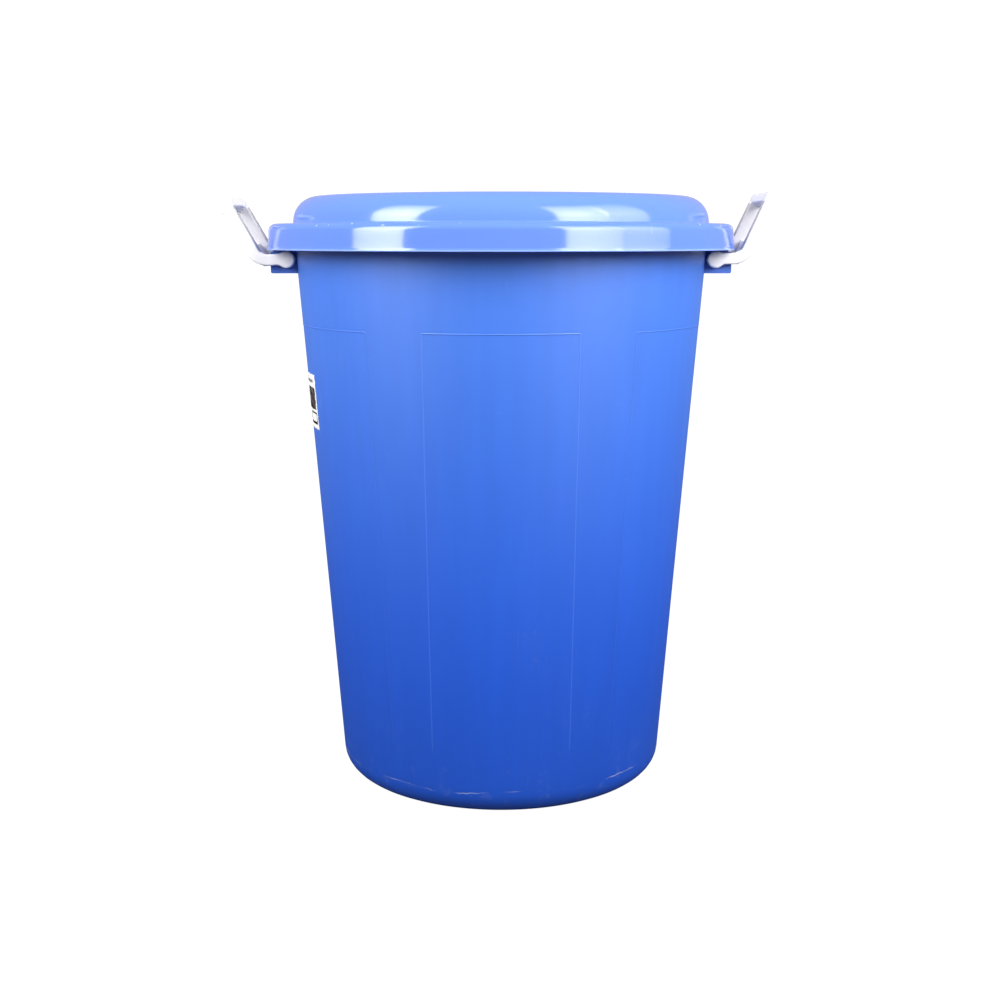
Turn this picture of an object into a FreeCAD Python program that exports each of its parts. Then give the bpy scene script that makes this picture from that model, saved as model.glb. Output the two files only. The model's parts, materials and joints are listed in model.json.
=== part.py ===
"""Household storage tub of about 100 litres, with a lift-off lid and two swing handles.

Millimetres. The origin is the centre of the floor print, +Z is up, the front of the tub
faces -Y and the handles are on +X and -X. Every driving size is a cell of the sheet.
"""
import FreeCAD, Part
import os
import re
import Sketcher
from FreeCAD import Rotation, Vector

SIZES = (
    # tub
    ("tub_height", 682.5, "floor to the top face of the rim"),
    ("mouth_radius", 252.0, "outside of the wall, carried up to the rim"),
    ("base_radius", 200.4, "outside of the wall, carried down to the floor"),
    ("tub_wall", 3.0, "wall thickness"),
    ("floor_thickness", 3.5, "floor thickness"),
    ("base_corner", 29.0, "outside radius between wall and floor"),
    ("foot_radius", 150.0, "inner radius of the ring that the tub stands on"),
    ("foot_recess", 4.0, "how far the middle of the floor is raised"),
    ("rim_width", 25.4, "rim flange, out from the wall"),
    ("rim_thickness", 3.0, "rim flange and its turned-down lip"),
    ("rim_drop", 13.0, "depth of the turned-down lip"),
    ("rim_edge", 5.2, "rounding of the rim's outer edge"),
    # shallow panels in the wall
    ("panel_top", 566.5, "height of the upper edge of the panels"),
    ("panel_bottom", 90.0, "height where the panels fade out"),
    ("panel_depth", 0.5, "depth of a panel at its upper edge"),
    ("panel_fade", 0.1, "depth of a panel where it fades out"),
    ("front_panel_angle", 42.5, "width of the front and back panels in degrees"),
    ("side_panel_angle", 103.0, "width of the two side panels in degrees"),
    # ears that carry the handles
    ("ear_spacing", 77.0, "clear gap between the two ears of a side"),
    ("ear_thickness", 6.0, "thickness of one ear"),
    ("ear_drop", 16.6, "pivot axis to the bottom of the ears"),
    ("ear_reach", 20.5, "pivot axis to the outer edge of the ears"),
    ("ear_shelf", 4.0, "thickness of the shelf that joins the ears"),
    ("ear_corner", 2.0, "rounding of the ears' lower outer corner"),
    ("ear_gap", 3.0, "lid skirt's lower edge to the wide part of the ears"),
    ("ear_inset", 1.0, "ears' narrow part, in from the rim's outer edge"),
    ("boss_gap", 1.0, "wall to the round ends of the arms"),
    ("pivot_below_skirt", 11.3, "pivot axis below the lid skirt's lower edge"),
    ("pin_radius", 5.0, "pivot pins, moulded with the handle"),
    ("pin_clearance", 0.08, "radial clearance of the pins in the ears"),
    # lid
    ("lid_wall", 2.6, "lid thickness"),
    ("lid_clearance", 1.0, "rim edge to the inside of the skirt, at the top"),
    ("skirt_drop", 28.0, "skirt's lower edge below the top face of the tub"),
    ("skirt_flare", 3.0, "how far the skirt widens towards its lower edge"),
    ("skirt_bead", 0.9, "depth of the bead along the skirt's lower edge"),
    ("bead_height", 2.4, "height of that bead"),
    ("skirt_corner", 8.5, "outside radius between skirt and flat border"),
    ("border_width", 28.8, "skirt's top to the foot of the dome"),
    ("dome_rise", 34.9, "top face of the tub to the dome's shoulder"),
    ("dome_crown", 2.0, "how far the middle of the dome is higher"),
    ("dome_draft", 1.7, "how far the dome's side leans in"),
    ("dome_corner", 30.0, "outside radius of the dome's shoulder"),
    ("dome_crease", 2.0, "radius at the foot of the dome"),
    # handles
    ("boss_radius", 10.2, "round end of an arm, about the pivot axis"),
    ("boss_neck", 6.0, "hollow radius between round end and arm"),
    ("arm_thickness", 13.0, "an arm, measured along the pivot axis"),
    ("arm_side_gap", 0.5, "side clearance between arm and ear"),
    ("arm_depth", 13.5, "lower part of an arm, from top to underside"),
    ("arm_skirt_gap", 3.5, "skirt's lower edge down to the lower part of the arm"),
    ("arm_turn", 65.5, "rise of the upper part of the arm, in degrees"),
    ("upper_depth", 15.8, "upper part of an arm, from inner to outer face"),
    ("upper_length", 79.5, "upper part of an arm, along its inner face"),
    ("outer_bend", 29.5, "radius of the bend on the outside"),
    ("inner_bend", 13.0, "radius of the bend on the inside"),
    ("tip_corner", 4.5, "rounding of the grip's outer upper corner"),
    ("grip_height", 12.0, "grip bar, measured along the arm"),
    ("window_length", 47.0, "hand opening below the grip, along the arm"),
    ("web_start", 29.0, "pivot axis to the edge of the web"),
    ("web_thickness", 5.0, "web between the arms, along the outer bend"),
    ("pin_length", 8.5, "pin, from the arm's inner face to its end"),
    ("arm_edge", 2.0, "rounding of the arms' outer edges"),
    ("left_handle_open", 5.0, "degrees that the left handle hangs further out"),
    # sticker
    ("label_width", 106.0, "sticker, along the wall"),
    ("label_height", 66.5, "sticker, up the wall"),
    ("label_level", 442.0, "height of the sticker's lower edge"),
    ("label_turn", 9.0, "degrees from the left side towards the front"),
    ("label_thickness", 0.3, "sticker thickness"),
)

SIZE_NAMES = re.compile(r"\b(" + "|".join(name for name, size, note in SIZES) + r")\b")

doc = FreeCAD.newDocument("storage_tub")
sheet = doc.addObject("Spreadsheet::Sheet", "Sizes")
for row, (name, size, note) in enumerate(SIZES, start=1):
    sheet.set("A%d" % row, note)
    sheet.set("B%d" % row, str(size))
    sheet.setAlias("B%d" % row, name)
doc.recompute()


# Formulas that several pieces share. Each is text in terms of the sheet's names.
TAPER = "((mouth_radius - base_radius) / tub_height)"
RIM_RADIUS = "(mouth_radius + rim_width)"
SKIRT_LEVEL = "(tub_height - skirt_drop)"
SKIRT_TOP_RADIUS = "(mouth_radius + rim_width + lid_clearance + lid_wall)"
SKIRT_RADIUS = "(mouth_radius + rim_width + lid_clearance + lid_wall + skirt_flare)"
PIVOT_LEVEL = "(tub_height - skirt_drop - pivot_below_skirt)"
ARM_INNER_FACE = "(ear_spacing / 2 + ear_thickness + arm_side_gap)"


def wall_radius(level):
    """Formula for the outside radius of the tapered wall at a height."""
    return "(base_radius + %s * (%s))" % (TAPER, level)


def panel_radius(level):
    """Formula for the radius of a panel's face, which fades into the wall downwards."""
    share = "((%s) - panel_bottom) / (panel_top - panel_bottom)" % level
    depth = "(panel_fade + (panel_depth - panel_fade) * %s)" % share
    return "(%s - %s)" % (wall_radius(level), depth)


WALL_AT_ARM = "sqrt(%s ^ 2 - %s ^ 2)" % (wall_radius(PIVOT_LEVEL), ARM_INNER_FACE)
PIVOT_REACH = "(%s + boss_radius + boss_gap)" % WALL_AT_ARM


def formula(text):
    """The same formula as an expression, with each size looked up in the sheet."""
    return SIZE_NAMES.sub(r"Sizes.\1", text)


def value(text):
    """Present value of a formula."""
    return float(sheet.evalExpression(formula(text)))


def bind(thing, prop, text):
    """Hold a property to a formula."""
    thing.setExpression(prop, formula(text))


def new_body(name):
    """Empty body whose label names its file."""
    body = doc.addObject("PartDesign::Body", name)
    body.Label = name
    return body


def new_sketch(body, name, role, level=None):
    """Sketch on an origin plane of its own body, raised by a formula if one is given."""
    plane = [item for item in body.Origin.OriginFeatures if item.Role == role][0]
    sketch = body.newObject("Sketcher::SketchObject", name)
    sketch.AttachmentSupport = [(plane, "")]
    sketch.MapMode = "FlatFace"
    if level is not None:
        bind(sketch, "AttachmentOffset.Base.z", level)
    return sketch


def hold_point(sketch, item, which, across, up):
    """Fix one point of a sketch by two formulas, or put it on an axis where one is 0."""
    for kind, text, axis in (("DistanceX", across, -2), ("DistanceY", up, -1)):
        if text == "0":
            sketch.addConstraint(Sketcher.Constraint("PointOnObject", item, which, axis))
            continue
        rule = Sketcher.Constraint(kind, -1, 1, item, which, value(text))
        bind(sketch, "Constraints[%d]" % sketch.addConstraint(rule), text)


def draw_polygon(sketch, corners):
    """Closed outline through corners, each given by two formulas."""
    points = [Vector(value(across), value(up), 0) for across, up in corners]
    first = sketch.GeometryCount
    for start, end in zip(points, points[1:] + points[:1]):
        sketch.addGeometry(Part.LineSegment(start, end))
    for number, (across, up) in enumerate(corners):
        before = first + (number - 1) % len(corners)
        sketch.addConstraint(Sketcher.Constraint("Coincident", before, 2, first + number, 1))
        hold_point(sketch, first + number, 1, across, up)


def draw_rectangle(sketch, left, right, low, high):
    """Upright rectangle between two pairs of formulas."""
    draw_polygon(sketch, [(left, low), (right, low), (right, high), (left, high)])


def draw_circle(sketch, across, up, radius):
    """Circle held by formulas for its centre and radius."""
    centre = Vector(value(across), value(up), 0)
    item = sketch.addGeometry(Part.Circle(centre, Vector(0, 0, 1), value(radius)))
    hold_point(sketch, item, 3, across, up)
    rule = Sketcher.Constraint("Radius", item, value(radius))
    bind(sketch, "Constraints[%d]" % sketch.addConstraint(rule), radius)


def check_change(body, before, grows):
    """Stop if a feature didn't change the body's volume the way that it should."""
    change = body.Shape.Volume - before
    if (grows and change < 1) or (not grows and change > -1):
        raise RuntimeError("%s changed by %.1f mm3 in %s" % (body.Tip.Name, change, body.Name))


def volume_so_far(body):
    """Volume of a body that may still be empty."""
    return body.Shape.Volume if body.Tip else 0.0


def spin(body, kind, name, sketch, angle=None):
    """Revolution or Groove of a sketch about Z, whole or centred on the sketch plane."""
    before = volume_so_far(body)
    feature = body.newObject("PartDesign::" + kind, name)
    feature.Profile = sketch
    feature.ReferenceAxis = (sketch, ["V_Axis"])
    if angle is None:
        feature.Angle = 360
    else:
        feature.Midplane = True
        bind(feature, "Angle", angle)
    doc.recompute()
    check_change(body, before, kind == "Revolution")
    return feature


def push(body, kind, name, sketch, length, centred=True):
    """Pad or Pocket of a sketch, centred on its plane or to the plane's positive side."""
    before = volume_so_far(body)
    feature = body.newObject("PartDesign::" + kind, name)
    feature.Profile = sketch
    feature.Midplane = centred
    bind(feature, "Length", length)
    doc.recompute()
    check_change(body, before, kind == "Pad")
    return feature


def round_edges(body, name, radius, wanted):
    """Fillet on the edges of the body's last feature that pass a test."""
    base = body.Tip
    names = ["Edge%d" % (number + 1) for number, edge in enumerate(base.Shape.Edges) if wanted(edge)]
    if not names:
        raise RuntimeError("no edge found for %s" % name)
    feature = body.newObject("PartDesign::Fillet", name)
    feature.Base = (base, names)
    bind(feature, "Radius", radius)
    doc.recompute()
    if feature.Shape.isNull() or not feature.isValid():
        raise RuntimeError("%s could not be rounded" % name)
    return feature


def is_ring(radius, level):
    """Test for a level ring about Z of the given radius and height."""
    def test(edge):
        if not isinstance(edge.Curve, Part.Circle):
            return False
        centre = edge.Curve.Center
        level_axis = abs(edge.Curve.Axis.z) > 0.999
        near = abs(edge.Curve.Radius - value(radius)) + abs(centre.z - value(level)) < 0.01
        return level_axis and near and abs(centre.x) + abs(centre.y) < 0.01
    return test


def runs_along_y(across, up, mirror=False):
    """Test for an edge parallel to Y at a place of the XZ plane, or at its mirror place."""
    def test(edge):
        ends = [vertex.Point for vertex in edge.Vertexes]
        if len(ends) != 2 or abs(ends[0].y - ends[1].y) < 1:
            return False
        places = [(abs(end.x) if mirror else end.x, end.z) for end in ends]
        return all(abs(x - value(across)) + abs(z - value(up)) < 0.01 for x, z in places)
    return test


def lies_in_side_face(width):
    """Test for an edge of the two flat side faces, half a width each way along Y."""
    def test(edge):
        places = [vertex.Point.y for vertex in edge.Vertexes] + [edge.CenterOfMass.y]
        return all(abs(abs(y) - value(width) / 2) < 0.01 for y in places)
    return test


def make_tub():
    """Tub: one moulding with its floor, wall, rim flange with lip, and four ears."""
    body = new_body("tub")

    under_rim = "tub_height - rim_thickness"
    outer = new_sketch(body, "tub_outline", "XZ_Plane")
    draw_polygon(outer, [
        ("0", "foot_recess"),
        ("foot_radius - foot_recess", "foot_recess"),
        ("foot_radius", "0"),
        ("base_radius", "0"),
        (wall_radius(under_rim), under_rim),
        (RIM_RADIUS + " - rim_thickness", under_rim),
        (RIM_RADIUS + " - rim_thickness", "tub_height - rim_drop"),
        (RIM_RADIUS, "tub_height - rim_drop"),
        (RIM_RADIUS, "tub_height"),
        ("0", "tub_height"),
    ])
    spin(body, "Revolution", "tub_form", outer)

    # The ears' lower part reaches out past the lid skirt, below its edge, and their
    # narrower upper part runs up behind the skirt into the rim flange.
    ear_bottom = PIVOT_LEVEL + " - ear_drop"
    ear_step = SKIRT_LEVEL + " - ear_gap"
    ear_side = "(ear_spacing / 2 + ear_thickness)"
    wide = PIVOT_REACH + " + ear_reach"
    narrow = "sqrt(%s ^ 2 - %s ^ 2) - ear_inset" % (RIM_RADIUS, ear_side)
    stages = (
        ("ear_lower", wide, ear_bottom, ear_step),
        ("ear_upper", narrow, ear_step, "tub_height - rim_thickness / 2"),
    )
    for name, reach, low, high in stages:
        ears = new_sketch(body, name + "_outline", "XY_Plane", low)
        for side in ("", "-1 * "):
            for end in ("", "-1 * "):
                near = side + "base_radius"
                far = side + "(%s)" % reach
                draw_rectangle(ears, near, far, end + "ear_spacing / 2", end + ear_side)
        push(body, "Pad", name, ears, "(%s) - (%s)" % (high, low), centred=False)
    shelf = new_sketch(body, "ear_shelf_outline", "XY_Plane", ear_bottom)
    for side in ("", "-1 * "):
        far = side + "(%s)" % wide
        draw_rectangle(shelf, side + "base_radius", far, "-1 * ear_spacing / 2", "ear_spacing / 2")
    push(body, "Pad", "ear_shelves", shelf, "ear_shelf", centred=False)
    round_edges(body, "ear_corners", "ear_corner", runs_along_y(wide, ear_bottom, mirror=True))

    inner = new_sketch(body, "tub_inside_outline", "XZ_Plane")
    floor_radius = wall_radius("floor_thickness") + " - tub_wall"
    draw_polygon(inner, [
        ("0", "foot_recess + floor_thickness"),
        ("foot_radius - foot_recess", "foot_recess + floor_thickness"),
        ("foot_radius", "floor_thickness"),
        (floor_radius, "floor_thickness"),
        ("mouth_radius - tub_wall", "tub_height"),
        ("0", "tub_height"),
    ])
    spin(body, "Groove", "tub_inside", inner)
    inside_corner = is_ring(floor_radius, "floor_thickness")
    round_edges(body, "tub_inside_corner", "base_corner - tub_wall", inside_corner)
    round_edges(body, "tub_base_corner", "base_corner", is_ring("base_radius", "0"))
    round_edges(body, "tub_rim_edge", "rim_edge", is_ring(RIM_RADIUS, "tub_height"))

    # Shallow panels: front and back about the Y axis, left and right about the X axis.
    for name, role, angle in (
        ("front_panel", "YZ_Plane", "front_panel_angle"),
        ("side_panel", "XZ_Plane", "side_panel_angle"),
    ):
        for mark, side in (("a", ""), ("b", "-1 * ")):
            panel = new_sketch(body, "%s_%s_outline" % (name, mark), role)
            draw_polygon(panel, [
                (side + panel_radius("panel_top"), "panel_top"),
                (side + RIM_RADIUS, "panel_top"),
                (side + RIM_RADIUS, "panel_bottom"),
                (side + panel_radius("panel_bottom"), "panel_bottom"),
            ])
            spin(body, "Groove", "%s_%s" % (name, mark), panel, angle)

    holes = new_sketch(body, "pin_holes_outline", "XZ_Plane")
    for side in ("", "-1 * "):
        draw_circle(holes, side + PIVOT_REACH, PIVOT_LEVEL, "pin_radius + pin_clearance")
    push(body, "Pocket", "pin_holes", holes, "2 * (%s + 1)" % ear_side)
    return body


def make_lid():
    """Lid: one moulding with a dome, a flat border that rests on the rim, and a skirt."""
    body = new_body("lid")
    seat = "tub_height"
    border = "(tub_height + lid_wall)"
    foot = "(%s - border_width)" % SKIRT_TOP_RADIUS
    shoulder = "(%s - dome_draft)" % foot
    shoulder_level = "(tub_height + dome_rise)"
    bead_top = SKIRT_LEVEL + " + bead_height"
    edge = SKIRT_RADIUS

    profile = new_sketch(body, "lid_outline", "XZ_Plane")
    draw_polygon(profile, [
        (edge, SKIRT_LEVEL),
        (edge, bead_top),
        (edge + " - skirt_bead", bead_top + " + skirt_bead"),
        (SKIRT_TOP_RADIUS, border),
        (foot, border),
        (shoulder, shoulder_level),
        ("0", shoulder_level + " + dome_crown"),
        ("0", shoulder_level + " + dome_crown - lid_wall"),
        (shoulder + " - lid_wall", shoulder_level + " - lid_wall"),
        (foot + " - lid_wall", seat),
        (SKIRT_TOP_RADIUS + " - lid_wall", seat),
        (edge + " - lid_wall", SKIRT_LEVEL),
    ])
    spin(body, "Revolution", "lid_form", profile)
    under_shoulder = is_ring(shoulder + " - lid_wall", shoulder_level + " - lid_wall")
    round_edges(body, "dome_inner_corner", "dome_corner - lid_wall", under_shoulder)
    round_edges(body, "dome_outer_corner", "dome_corner", is_ring(shoulder, shoulder_level))
    inside_skirt = is_ring(SKIRT_TOP_RADIUS + " - lid_wall", seat)
    round_edges(body, "skirt_inner_corner", "skirt_corner - lid_wall", inside_skirt)
    round_edges(body, "skirt_outer_corner", "skirt_corner", is_ring(SKIRT_TOP_RADIUS, border))
    round_edges(body, "dome_foot_crease", "dome_crease", is_ring(foot, border))
    return body


def make_handle(name, side, swing):
    """Handle: two cranked arms, a web in their bend, a grip bar and two pivot pins.

    It is drawn about its pivot axis, reaching out along +X. Side is 1 for the right of
    the tub and -1 for the left, and swing is how far it hangs out.
    """
    body = new_body(name)
    whole_width = "2 * (%s + arm_thickness)" % ARM_INNER_FACE
    gap_width = "2 * " + ARM_INNER_FACE
    top = "(pivot_below_skirt - arm_skirt_gap)"
    underside = "(%s - arm_depth)" % top

    # Corners of the arm before they are rounded. The inner corner stands below the lid
    # skirt's edge, and along and out_of step along the rising part and square to it.
    inner_x = "(%s - %s)" % (SKIRT_RADIUS, PIVOT_REACH)
    along = ("cos(arm_turn * 1 deg)", "sin(arm_turn * 1 deg)")
    out_of = ("sin(arm_turn * 1 deg)", "(-1 * cos(arm_turn * 1 deg))")

    def on_arm(length, depth):
        """Place on the rising part: length along it and depth out from its inner face."""
        across = "%s + (%s) * %s + (%s) * %s" % (inner_x, length, along[0], depth, out_of[0])
        up = "%s + (%s) * %s + (%s) * %s" % (top, length, along[1], depth, out_of[1])
        return across, up

    def where_level(level, depth):
        """Corner where the face at a depth of the rising part comes down to a level."""
        length = "((%s) - %s - (%s) * %s) / %s" % (level, top, depth, out_of[1], along[1])
        return on_arm(length, depth)[0], level

    outer_corner = where_level(underside, "upper_depth")
    tip_outer = on_arm("upper_length", "upper_depth")
    tip_inner = on_arm("upper_length", "0")
    inner_corner = (inner_x, top)

    arm = new_sketch(body, name + "_arm_outline", "XZ_Plane")
    draw_polygon(arm, [("0", underside), outer_corner, tip_outer, tip_inner, inner_corner, ("0", top)])
    push(body, "Pad", name + "_arms", arm, whole_width)

    boss = new_sketch(body, name + "_boss_outline", "XZ_Plane")
    draw_circle(boss, "0", "0", "boss_radius")
    push(body, "Pad", name + "_boss", boss, whole_width)
    for mark, level in (("upper", top), ("lower", underside)):
        meeting = "sqrt(boss_radius ^ 2 - (%s) ^ 2)" % level
        round_edges(body, "%s_neck_%s" % (name, mark), "boss_neck", runs_along_y(meeting, level))

    # Between the arms: a trough that leaves the web along the outer bend and the grip
    # bar at the end, a gap from the round ends to the web, and the hand opening.
    grip_face = "(upper_length - grip_height)"
    web_edge = "(upper_depth - web_thickness)"
    web_level = "(%s + web_thickness)" % underside
    web_corner = where_level(web_level, web_edge)
    clear = "(-2 * boss_radius)"
    trough = new_sketch(body, name + "_trough_outline", "XZ_Plane")
    draw_polygon(trough, [
        (clear, web_level),
        web_corner,
        on_arm(grip_face, web_edge),
        on_arm(grip_face, clear),
        (clear, "2 * boss_radius"),
    ])
    push(body, "Pocket", name + "_trough", trough, gap_width)
    round_edges(body, name + "_web_bend", "outer_bend - web_thickness", runs_along_y(*web_corner))
    round_edges(body, name + "_outer_bend", "outer_bend", runs_along_y(*outer_corner))
    round_edges(body, name + "_inner_bend", "inner_bend", runs_along_y(*inner_corner))
    round_edges(body, name + "_tip_outer", "tip_corner", runs_along_y(*tip_outer))
    round_edges(body, name + "_tip_inner", "tip_corner / 2", runs_along_y(*tip_inner))
    gap = new_sketch(body, name + "_gap_outline", "XZ_Plane")
    draw_rectangle(gap, clear, "web_start", clear, "2 * boss_radius")
    push(body, "Pocket", name + "_gap", gap, gap_width)
    round_edges(body, name + "_edges", "arm_edge", lies_in_side_face(whole_width))
    opening = new_sketch(body, name + "_opening_outline", "XZ_Plane")
    draw_polygon(opening, [
        on_arm(grip_face + " - window_length", "0"),
        on_arm(grip_face + " - window_length", "2 * upper_depth"),
        on_arm(grip_face, "2 * upper_depth"),
        on_arm(grip_face, "0"),
    ])
    push(body, "Pocket", name + "_opening", opening, gap_width)

    pins = new_sketch(body, name + "_pins_outline", "XZ_Plane")
    draw_circle(pins, "0", "0", "pin_radius")
    push(body, "Pad", name + "_pins", pins, "2 * (%s + arm_thickness / 2)" % ARM_INNER_FACE)
    between = new_sketch(body, name + "_between_pins_outline", "XZ_Plane")
    draw_circle(between, "0", "0", "2 * pin_radius")
    push(body, "Pocket", name + "_between_pins", between, "2 * (%s - pin_length)" % ARM_INNER_FACE)

    pivot = "vector(%d * %s; 0; %s)" % (side, PIVOT_REACH, PIVOT_LEVEL)
    turn = "rotation(vector(0; 0; 1); %d) * rotation(vector(0; 1; 0); %s)" % (90 - 90 * side, swing)
    bind(body, "Placement", "placement(%s; %s)" % (pivot, turn))
    return body


def make_label():
    """Sticker on the left panel, bent to the wall."""
    body = new_body("product_label")
    top = "(label_level + label_height)"
    strip = new_sketch(body, "label_outline", "XZ_Plane")
    draw_polygon(strip, [
        (panel_radius("label_level"), "label_level"),
        (panel_radius("label_level") + " + label_thickness", "label_level"),
        (panel_radius(top) + " + label_thickness", top),
        (panel_radius(top), top),
    ])
    angle = "label_width / %s * 180 / pi" % panel_radius("label_level + label_height / 2")
    spin(body, "Revolution", "label_strip", strip, angle)
    body.Placement.Rotation = Rotation(Vector(0, 0, 1), 180)
    bind(body, "Placement.Rotation.Angle", "180 + label_turn")
    return body


bodies = [
    make_tub(),
    make_lid(),
    make_handle("handle_right", 1, "0"),
    make_handle("handle_left", -1, "left_handle_open"),
    make_label(),
]
doc.recompute()

for item in doc.Objects:
    if "Invalid" in item.State or "Error" in item.State:
        raise RuntimeError("%s failed: %s" % (item.Name, item.State))
for body in bodies:
    if body.Shape.isNull() or not body.Shape.isValid() or len(body.Shape.Solids) != 1:
        raise RuntimeError("%s is not one sound solid" % body.Name)

os.makedirs("parts", exist_ok=True)
for body in bodies:
    body.Shape.exportStep("parts/%s.step" % body.Label)
    box = body.Shape.BoundBox
    print("%-14s volume %9.1f cm3  x %.1f..%.1f  y %.1f..%.1f  z %.1f..%.1f" % (
        body.Label, body.Shape.Volume / 1000, box.XMin, box.XMax, box.YMin, box.YMax, box.ZMin, box.ZMax))
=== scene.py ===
import json
from math import acos, atan2, cos, pi, radians, sin, sqrt, tan

import bmesh
import bpy
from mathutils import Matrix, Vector


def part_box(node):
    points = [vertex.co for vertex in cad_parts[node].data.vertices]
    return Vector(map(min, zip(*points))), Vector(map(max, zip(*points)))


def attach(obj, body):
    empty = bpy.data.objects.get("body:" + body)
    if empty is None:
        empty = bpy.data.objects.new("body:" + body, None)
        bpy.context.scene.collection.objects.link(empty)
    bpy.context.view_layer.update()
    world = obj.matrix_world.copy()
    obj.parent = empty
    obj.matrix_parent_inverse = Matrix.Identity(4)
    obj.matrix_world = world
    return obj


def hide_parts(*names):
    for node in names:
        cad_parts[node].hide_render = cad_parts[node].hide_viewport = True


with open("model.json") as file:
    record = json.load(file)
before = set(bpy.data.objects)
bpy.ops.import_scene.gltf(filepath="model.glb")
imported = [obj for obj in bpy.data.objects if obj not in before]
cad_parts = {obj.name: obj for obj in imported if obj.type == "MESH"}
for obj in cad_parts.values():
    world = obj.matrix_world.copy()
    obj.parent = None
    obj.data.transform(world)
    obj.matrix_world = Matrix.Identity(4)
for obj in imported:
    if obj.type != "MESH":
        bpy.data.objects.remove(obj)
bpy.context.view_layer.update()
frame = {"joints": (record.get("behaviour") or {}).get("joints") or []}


# ---------------------------------------------------------------------------------------
# Studio: a pale floor that runs into a white surround, tall softboxes at the front left and
# right with a dimmer one beside them, and a camera at about rim height, looking down a little.
camera_data = bpy.data.cameras.new("studio_camera")
camera_data.sensor_width = 36.0
camera_data.lens = 51.62
camera_data.shift_x = -0.001
camera_data.clip_start = 0.05
camera = bpy.data.objects.new("studio_camera", camera_data)
camera.location = (0.0, -1.7884, 0.6703)
camera.rotation_euler = (radians(90 - 10.417), 0.0, 0.0)
bpy.context.scene.collection.objects.link(camera)
bpy.context.scene.camera = camera
bpy.context.scene.view_settings.view_transform = "Standard"

surround = bpy.data.worlds.new("white_surround")
surround.use_nodes = True
surround_tree = surround.node_tree
surround_paint = surround_tree.nodes["Background"]
surround_paint.inputs["Color"].default_value = (1.0, 1.0, 1.0, 1.0)
# Seen directly the surround is plain white. As a light it is pale above and dark below.
surround_pale = 0.50
surround_dark = 0.075
heading = surround_tree.nodes.new("ShaderNodeSeparateXYZ")
incoming = surround_tree.nodes.new("ShaderNodeNewGeometry").outputs["Incoming"]
surround_tree.links.new(incoming, heading.inputs[0])
glow = surround_tree.nodes.new("ShaderNodeMapRange")
glow.interpolation_type = "SMOOTHSTEP"
for socket, value in zip(list(glow.inputs)[1:5], (-0.05, 0.30, surround_pale, surround_dark)):
    socket.default_value = value
surround_tree.links.new(heading.outputs["Z"], glow.inputs["Value"])
seen = surround_tree.nodes.new("ShaderNodeLightPath").outputs["Is Camera Ray"]
brightness = surround_tree.nodes.new("ShaderNodeMapRange")
brightness.inputs["To Max"].default_value = 1.1
surround_tree.links.new(seen, brightness.inputs["Value"])
surround_tree.links.new(glow.outputs[0], brightness.inputs["To Min"])
surround_tree.links.new(brightness.outputs[0], surround_paint.inputs["Strength"])
bpy.context.scene.world = surround

# Azimuth in degrees from the front, width in metres and power in watts of each softbox.
# They are as tall and as far away as each other, and lean down to the drum's upper half.
softbox_distance = 1.25
softbox_centre = 1.34
softbox_height = 1.15
softbox_spread = radians(75)
softbox_target = 0.85
softboxes = (
    ("softbox_left", -54.5, 0.64, 6.7),
    ("softbox_right", 41, 0.68, 5.9),
    ("side_panel_right", 67, 0.64, 2.7),
)
for name, azimuth, width, power in softboxes:
    light = bpy.data.lights.new(name, "AREA")
    light.shape = "RECTANGLE"
    light.size = width
    light.size_y = softbox_height
    light.energy = power
    light.spread = softbox_spread
    softbox = bpy.data.objects.new(name, light)
    turn = radians(azimuth)
    place = Vector((sin(turn) * softbox_distance, -cos(turn) * softbox_distance, softbox_centre))
    aim = Vector((0.0, 0.0, softbox_target)) - place
    softbox.location = place
    softbox.rotation_euler = aim.to_track_quat("-Z", "Y").to_euler()
    bpy.context.scene.collection.objects.link(softbox)

floor_radius = 1.2
floor_corners = 96
floor_mesh = bpy.data.meshes.new("studio_floor")
floor_ring = [(floor_radius * cos(2 * pi * corner / floor_corners),
               floor_radius * sin(2 * pi * corner / floor_corners), 0.0)
              for corner in range(floor_corners)]
floor_mesh.from_pydata(floor_ring, [], [tuple(range(floor_corners))])
floor = bpy.data.objects.new("studio_floor", floor_mesh)
bpy.context.scene.collection.objects.link(floor)
floor_paint = bpy.data.materials.new("studio_floor")
floor_paint.use_nodes = True
floor_tree = floor_paint.node_tree
floor_shade = floor_tree.nodes["Principled BSDF"]
floor_shade.inputs["Base Color"].default_value = (0.12, 0.12, 0.12, 1.0)
floor_shade.inputs["Roughness"].default_value = 0.9
floor_shade.inputs["Specular IOR Level"].default_value = 0.0
floor_shade.inputs["Emission Color"].default_value = (1.0, 1.0, 1.0, 1.0)
# Seen directly the floor is as white as the surround. It throws little light back.
floor_seen = floor_tree.nodes.new("ShaderNodeLightPath").outputs["Is Camera Ray"]
floor_tree.links.new(floor_seen, floor_shade.inputs["Emission Strength"])
floor_mesh.materials.append(floor_paint)


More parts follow.
